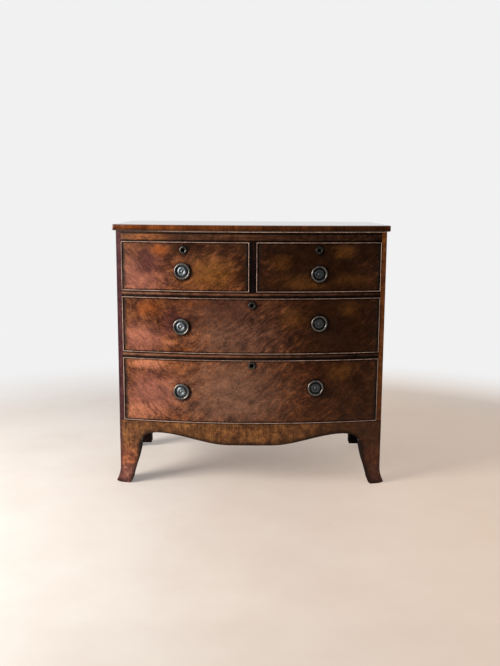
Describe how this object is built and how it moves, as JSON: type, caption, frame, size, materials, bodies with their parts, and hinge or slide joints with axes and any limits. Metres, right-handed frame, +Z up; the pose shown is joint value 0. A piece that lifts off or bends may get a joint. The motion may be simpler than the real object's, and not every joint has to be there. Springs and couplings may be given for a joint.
{
  "type": "bow front chest of drawers",
  "caption": "Bow front chest: short drawers over long ones, each edged with a proud bead and fitted with ring pulls, on a shaped apron and outswept bracket feet.",
  "frame": {"origin": "at floor level, under the middle of the whole chest", "axes": "+X to the right as seen from the front, +Y towards the back, +Z up; the drawers open towards -Y"},
  "size_m": [0.908, 0.504, 0.871],
  "materials": {
    "top_mahogany": "polished mahogany, worn to a pale sheen",
    "case_mahogany": "dark polished mahogany",
    "figured_mahogany": "figured mahogany veneer, french polished",
    "bead_mahogany": "dark bead, rubbed pale along its edge",
    "apron_mahogany": "upright mahogany veneer, french polished",
    "drawer_oak": "dry waxed oak",
    "carcass_pine": "unpolished pine, darkened with age",
    "aged_brass": "dark grey-brown patina, bright where rubbed",
    "lock_iron": "dull filed iron"
  },
  "bodies": {
    "case": {"top": "top_mahogany", "left_side": "case_mahogany", "right_side": "case_mahogany", "back_panel": "carcass_pine", "bottom_board": "carcass_pine", "frieze_rail": "case_mahogany", "upper_rail": "case_mahogany", "lower_rail": "case_mahogany", "upper_dustboard": "carcass_pine", "lower_dustboard": "carcass_pine", "centre_divider": "case_mahogany", "apron": "apron_mahogany", "front_left_foot": "apron_mahogany", "front_right_foot": "apron_mahogany", "rear_left_foot": "case_mahogany", "rear_right_foot": "case_mahogany"},
    "upper_left_drawer": {"upper_left_drawer_front": "figured_mahogany", "upper_left_cockbead": "bead_mahogany", "upper_left_drawer_left_side": "drawer_oak", "upper_left_drawer_right_side": "drawer_oak", "upper_left_drawer_back": "drawer_oak", "upper_left_drawer_bottom": "drawer_oak", "upper_left_lock": "lock_iron", "upper_left_escutcheon": "aged_brass", "upper_left_backplate": "aged_brass"},
    "upper_right_drawer": {"upper_right_drawer_front": "figured_mahogany", "upper_right_cockbead": "bead_mahogany", "upper_right_drawer_left_side": "drawer_oak", "upper_right_drawer_right_side": "drawer_oak", "upper_right_drawer_back": "drawer_oak", "upper_right_drawer_bottom": "drawer_oak", "upper_right_lock": "lock_iron", "upper_right_escutcheon": "aged_brass", "upper_right_backplate": "aged_brass"},
    "middle_drawer": {"middle_drawer_front": "figured_mahogany", "middle_cockbead": "bead_mahogany", "middle_drawer_left_side": "drawer_oak", "middle_drawer_right_side": "drawer_oak", "middle_drawer_back": "drawer_oak", "middle_drawer_bottom": "drawer_oak", "middle_lock": "lock_iron", "middle_escutcheon": "aged_brass", "middle_left_backplate": "aged_brass", "middle_right_backplate": "aged_brass"},
    "bottom_drawer": {"bottom_drawer_front": "figured_mahogany", "bottom_cockbead": "bead_mahogany", "bottom_drawer_left_side": "drawer_oak", "bottom_drawer_right_side": "drawer_oak", "bottom_drawer_back": "drawer_oak", "bottom_drawer_bottom": "drawer_oak", "bottom_lock": "lock_iron", "bottom_escutcheon": "aged_brass", "bottom_left_backplate": "aged_brass", "bottom_right_backplate": "aged_brass"},
    "upper_left_pull": {"upper_left_ring": "aged_brass"},
    "upper_right_pull": {"upper_right_ring": "aged_brass"},
    "middle_left_pull": {"middle_left_ring": "aged_brass"},
    "middle_right_pull": {"middle_right_ring": "aged_brass"},
    "bottom_left_pull": {"bottom_left_ring": "aged_brass"},
    "bottom_right_pull": {"bottom_right_ring": "aged_brass"}
  },
  "joints": [
    {"name": "upper_left_drawer_slide", "type": "slide", "parent": "case", "child": "upper_left_drawer", "axis": [0, -1, 0], "range_m": [0, 0.3]},
    {"name": "upper_right_drawer_slide", "type": "slide", "parent": "case", "child": "upper_right_drawer", "axis": [0, -1, 0], "range_m": [0, 0.3]},
    {"name": "middle_drawer_slide", "type": "slide", "parent": "case", "child": "middle_drawer", "axis": [0, -1, 0], "range_m": [0, 0.3]},
    {"name": "bottom_drawer_slide", "type": "slide", "parent": "case", "child": "bottom_drawer", "axis": [0, -1, 0], "range_m": [0, 0.3]},
    {"name": "upper_left_ring_swing", "type": "hinge", "parent": "upper_left_drawer", "child": "upper_left_pull", "pos_m": [-0.22267, -0.23165, 0.74588], "axis": [-0.9931, 0.1177, 0], "range_deg": [0, 100]},
    {"name": "upper_right_ring_swing", "type": "hinge", "parent": "upper_right_drawer", "child": "upper_right_pull", "pos_m": [0.21933, -0.23205, 0.73895], "axis": [-0.9933, -0.1159, 0], "range_deg": [0, 100]},
    {"name": "middle_left_ring_swing", "type": "hinge", "parent": "middle_drawer", "child": "middle_left_pull", "pos_m": [-0.2275, -0.23108, 0.56514], "axis": [-0.9927, 0.1202, 0], "range_deg": [0, 100]},
    {"name": "middle_right_ring_swing", "type": "hinge", "parent": "middle_drawer", "child": "middle_right_pull", "pos_m": [0.22189, -0.23175, 0.57784], "axis": [-0.9931, -0.1173, 0], "range_deg": [0, 100]},
    {"name": "bottom_left_ring_swing", "type": "hinge", "parent": "bottom_drawer", "child": "bottom_left_pull", "pos_m": [-0.22818, -0.23099, 0.34905], "axis": [-0.9927, 0.1206, 0], "range_deg": [0, 100]},
    {"name": "bottom_right_ring_swing", "type": "hinge", "parent": "bottom_drawer", "child": "bottom_right_pull", "pos_m": [0.21339, -0.23273, 0.36403], "axis": [-0.9936, -0.1128, 0], "range_deg": [0, 100]}
  ]
}
